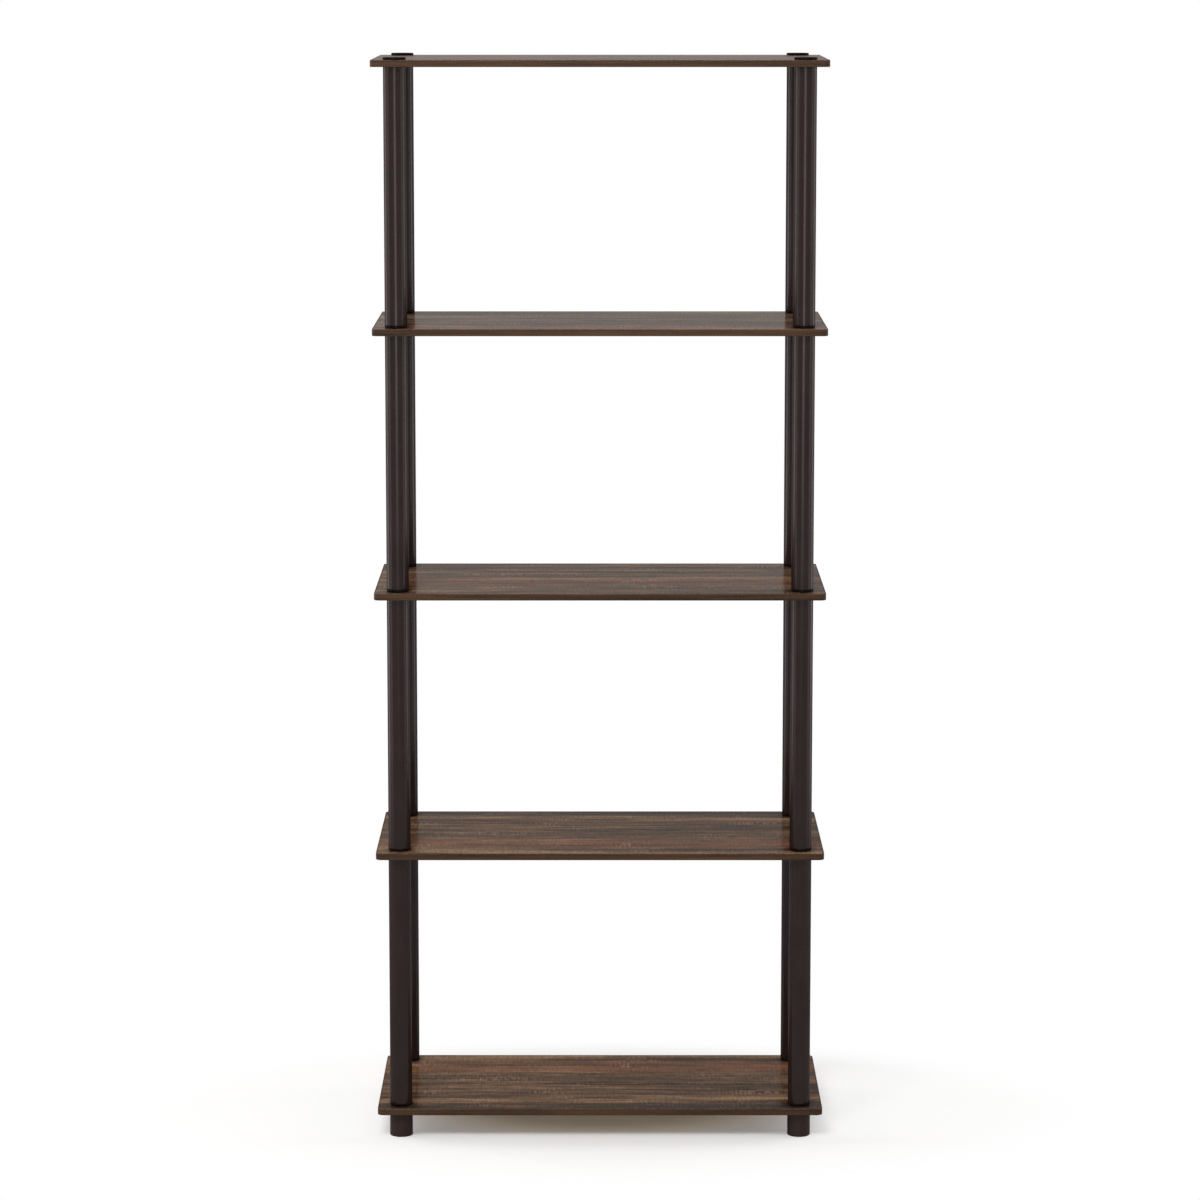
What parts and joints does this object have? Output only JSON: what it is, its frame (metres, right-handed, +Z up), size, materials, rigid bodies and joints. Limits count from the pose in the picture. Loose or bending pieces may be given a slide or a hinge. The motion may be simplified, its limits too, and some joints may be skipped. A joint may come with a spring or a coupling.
{
  "type": "bookcase",
  "caption": "Open bookcase with thin wood-grain laminate shelves on dark plastic tube posts that screw together through the shelves, on short feet with low top caps.",
  "frame": {"origin": "on the floor, under the middle of the shelves", "axes": "+X along the shelves, to the right as seen from the front; +Y towards the back; +Z up"},
  "size_m": [0.6, 0.29, 1.4493],
  "materials": {
    "laminate_board": "satin wood-grain laminate, walnut brown with long grey-brown and reddish streaks",
    "edge_band": "satin plastic band printed with brown grain",
    "tube_plastic": "satin dark espresso plastic tube",
    "fitting_plastic": "satin near-black moulded plastic",
    "foot_plastic": "satin dark brown moulded plastic"
  },
  "bodies": {
    "root": {"shelf_board_1": "laminate_board", "edge_band_1": "edge_band", "shelf_board_2": "laminate_board", "edge_band_2": "edge_band", "shelf_board_3": "laminate_board", "edge_band_3": "edge_band", "shelf_board_4": "laminate_board", "edge_band_4": "edge_band", "shelf_board_5": "laminate_board", "edge_band_5": "edge_band", "foot_front_left": "foot_plastic", "stud_1_front_left": "fitting_plastic", "tube_1_front_left": "tube_plastic", "stud_2_front_left": "fitting_plastic", "tube_2_front_left": "tube_plastic", "stud_3_front_left": "fitting_plastic", "tube_3_front_left": "tube_plastic", "stud_4_front_left": "fitting_plastic", "tube_4_front_left": "tube_plastic", "top_cap_front_left": "fitting_plastic", "foot_front_right": "foot_plastic", "stud_1_front_right": "fitting_plastic", "tube_1_front_right": "tube_plastic", "stud_2_front_right": "fitting_plastic", "tube_2_front_right": "tube_plastic", "stud_3_front_right": "fitting_plastic", "tube_3_front_right": "tube_plastic", "stud_4_front_right": "fitting_plastic", "tube_4_front_right": "tube_plastic", "top_cap_front_right": "fitting_plastic", "foot_back_left": "foot_plastic", "stud_1_back_left": "fitting_plastic", "tube_1_back_left": "tube_plastic", "stud_2_back_left": "fitting_plastic", "tube_2_back_left": "tube_plastic", "stud_3_back_left": "fitting_plastic", "tube_3_back_left": "tube_plastic", "stud_4_back_left": "fitting_plastic", "tube_4_back_left": "tube_plastic", "top_cap_back_left": "fitting_plastic", "foot_back_right": "foot_plastic", "stud_1_back_right": "fitting_plastic", "tube_1_back_right": "tube_plastic", "stud_2_back_right": "fitting_plastic", "tube_2_back_right": "tube_plastic", "stud_3_back_right": "fitting_plastic", "tube_3_back_right": "tube_plastic", "stud_4_back_right": "fitting_plastic", "tube_4_back_right": "tube_plastic", "top_cap_back_right": "fitting_plastic"}
  },
  "joints": []
}
